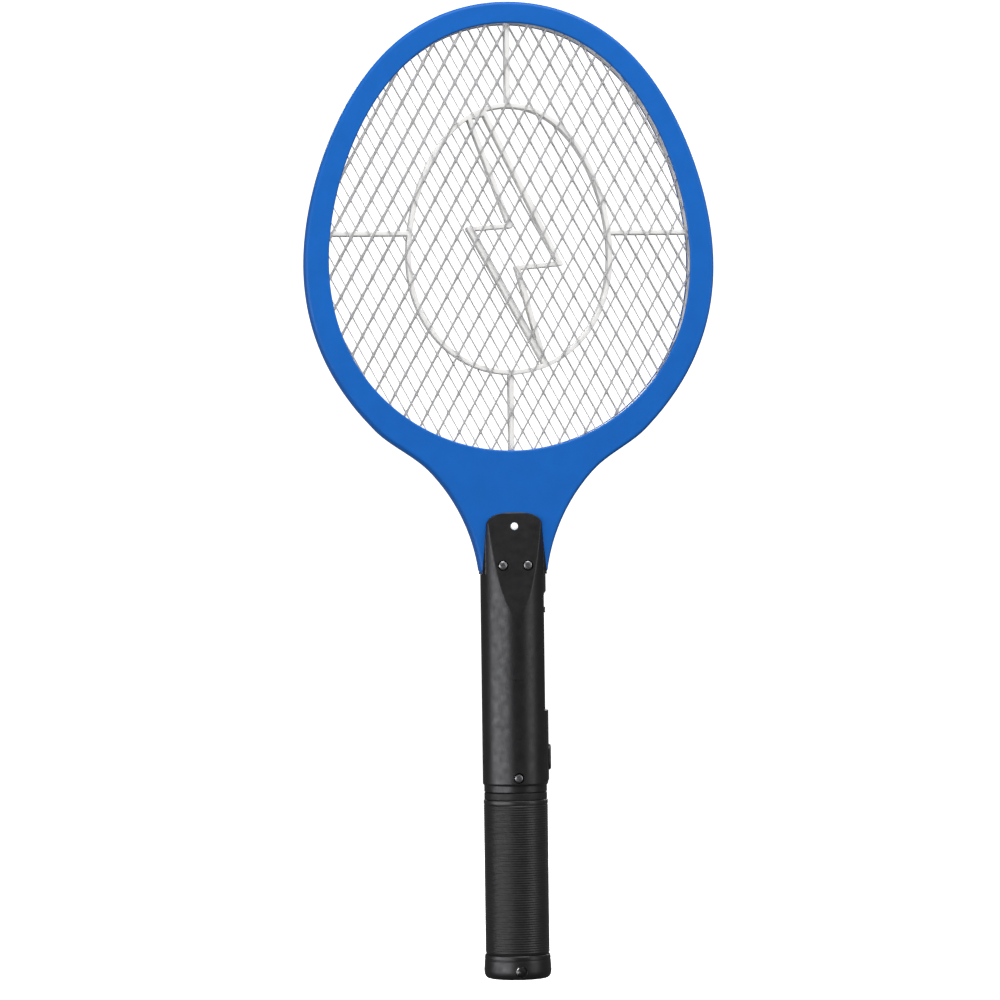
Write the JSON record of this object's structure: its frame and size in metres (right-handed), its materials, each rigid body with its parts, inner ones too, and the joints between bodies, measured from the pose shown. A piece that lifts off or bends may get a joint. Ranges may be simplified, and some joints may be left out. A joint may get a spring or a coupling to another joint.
{
  "type": "electric fly swatter",
  "caption": "Battery fly swatter with a pear-shaped blue head holding layered wire nets, a round black handle with a side button, and a twist-off ribbed battery sleeve.",
  "frame": {"origin": "middle of the end cap's foot, on the handle's axis", "axes": "+Z along the handle from the end cap to the top of the head, -Y out of the front face with the indicator light, +X towards the push button"},
  "size_m": [0.2106, 0.0342, 0.5],
  "materials": {
    "blue_plastic": "satin blue moulded plastic",
    "net_metal": "dull expanded wire net",
    "pale_plastic": "pale translucent moulded plastic",
    "screw_steel": "plated screw steel",
    "brass_strip": "bright",
    "black_plastic": "slightly glossy black moulded plastic",
    "sleeve_plastic": "finely ribbed black plastic",
    "ring_plastic": "smooth black plastic",
    "button_plastic": "matt black plastic",
    "grey_plastic": "matt",
    "led_lens": "clear white lens",
    "spring_steel": "nickel plated",
    "switch_metal": "pressed tin plate",
    "board": "green laminate",
    "ferrite": "dark ferrite",
    "winding": "yellow tape",
    "capacitor_film": "dipped",
    "capacitor_ceramic": "dipped",
    "component_black": "moulded",
    "resistor_body": "lacquered",
    "red_wire": "insulated wire",
    "black_wire": "insulated wire",
    "holder_plastic": "matt black plastic",
    "cell_jacket": null
  },
  "bodies": {
    "racket": {"front_frame": "blue_plastic", "rear_frame": "blue_plastic", "front_net": "net_metal", "centre_net": "net_metal", "rear_net": "net_metal", "front_spacer": "pale_plastic", "rear_spacer": "pale_plastic", "frame_screws": "screw_steel", "outer_net_terminal": "brass_strip", "centre_net_terminal": "brass_strip", "front_shell": "black_plastic", "rear_shell": "black_plastic", "neck_screws": "screw_steel", "lower_screw": "screw_steel", "indicator_led": "led_lens", "switch_body": "grey_plastic", "switch_dome": "spring_steel", "slide_switch": "switch_metal", "circuit_board": "board", "transformer_core": "ferrite", "transformer_coil": "winding", "storage_capacitor": "capacitor_film", "multiplier_capacitors": "capacitor_ceramic", "multiplier_diodes": "component_black", "transistor": "component_black", "resistors": "resistor_body", "high_voltage_wire": "red_wire", "earth_wire": "black_wire", "battery_wires": "red_wire", "battery_holder": "holder_plastic", "left_cell": "cell_jacket", "right_cell": "cell_jacket", "cell_springs": "spring_steel", "cell_contacts": "spring_steel"},
    "button": {"push_button": "button_plastic", "switch_plunger": "grey_plastic"},
    "switch_knob": {"slide_knob": "button_plastic"},
    "ring": {"locking_ring": "ring_plastic"},
    "sleeve": {"battery_sleeve": "sleeve_plastic", "end_cap": "black_plastic"}
  },
  "joints": [
    {"name": "button_press", "type": "slide", "parent": "racket", "child": "button", "axis": [-1, 0, 0], "range_m": [0, 0.0012], "stiffness_N_per_m": 900, "deforming": ["switch_dome"]},
    {"name": "slide_switch_on", "type": "slide", "parent": "racket", "child": "switch_knob", "axis": [0, 0, 1], "range_m": [0, 0.004]},
    {"name": "sleeve_turn", "type": "hinge", "parent": "racket", "child": "ring", "pos_m": [0, 0, 0.0935], "axis": [0, 0, 1], "range_deg": [0, 30]},
    {"name": "sleeve_pull", "type": "slide", "parent": "ring", "child": "sleeve", "axis": [0, 0, -1], "range_m": [0, 0.085]}
  ]
}
